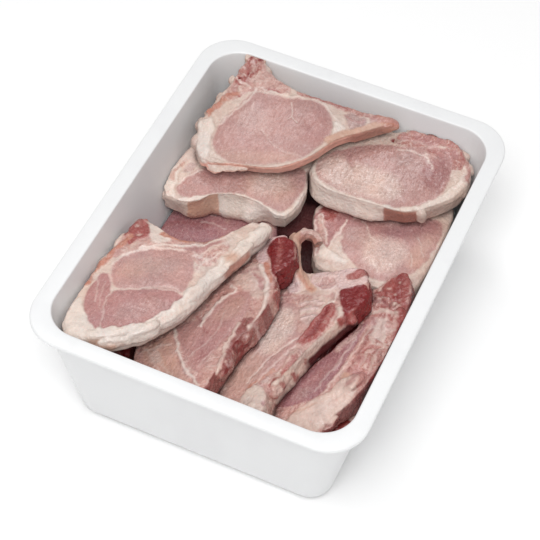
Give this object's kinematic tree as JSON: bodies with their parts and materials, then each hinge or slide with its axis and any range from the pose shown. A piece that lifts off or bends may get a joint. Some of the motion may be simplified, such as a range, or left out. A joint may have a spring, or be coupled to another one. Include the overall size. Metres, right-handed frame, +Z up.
{
  "type": "meat tray pack",
  "caption": "Open white plastic tub with a flat rim, filled with overlapping raw bone-in pork chops.",
  "frame": {"origin": "centre of the tub's footprint, on the surface it stands on", "axes": "+Z up, +Y along the tub's long side, +X along its short side"},
  "size_m": [0.24, 0.308, 0.112],
  "materials": {
    "tub_plastic": "smooth satin white plastic",
    "chop_meat": "raw pale pink pork with cream fat, red bone and tan rind, moist",
    "deep_meat": "raw pork in the shade of the pile, dark red, moist"
  },
  "bodies": {
    "root": {"tub": "tub_plastic", "chops_below": "deep_meat", "scrap_under_front": "deep_meat", "chop_low_left": "deep_meat", "chop_low_right": "deep_meat", "chop_back_low": "chop_meat", "chop_back_middle": "chop_meat", "chop_back_right": "chop_meat", "chop_front_fourth": "chop_meat", "chop_front_third": "chop_meat", "chop_front_second": "chop_meat", "chop_front_first": "chop_meat", "chop_top": "chop_meat"}
  },
  "joints": []
}
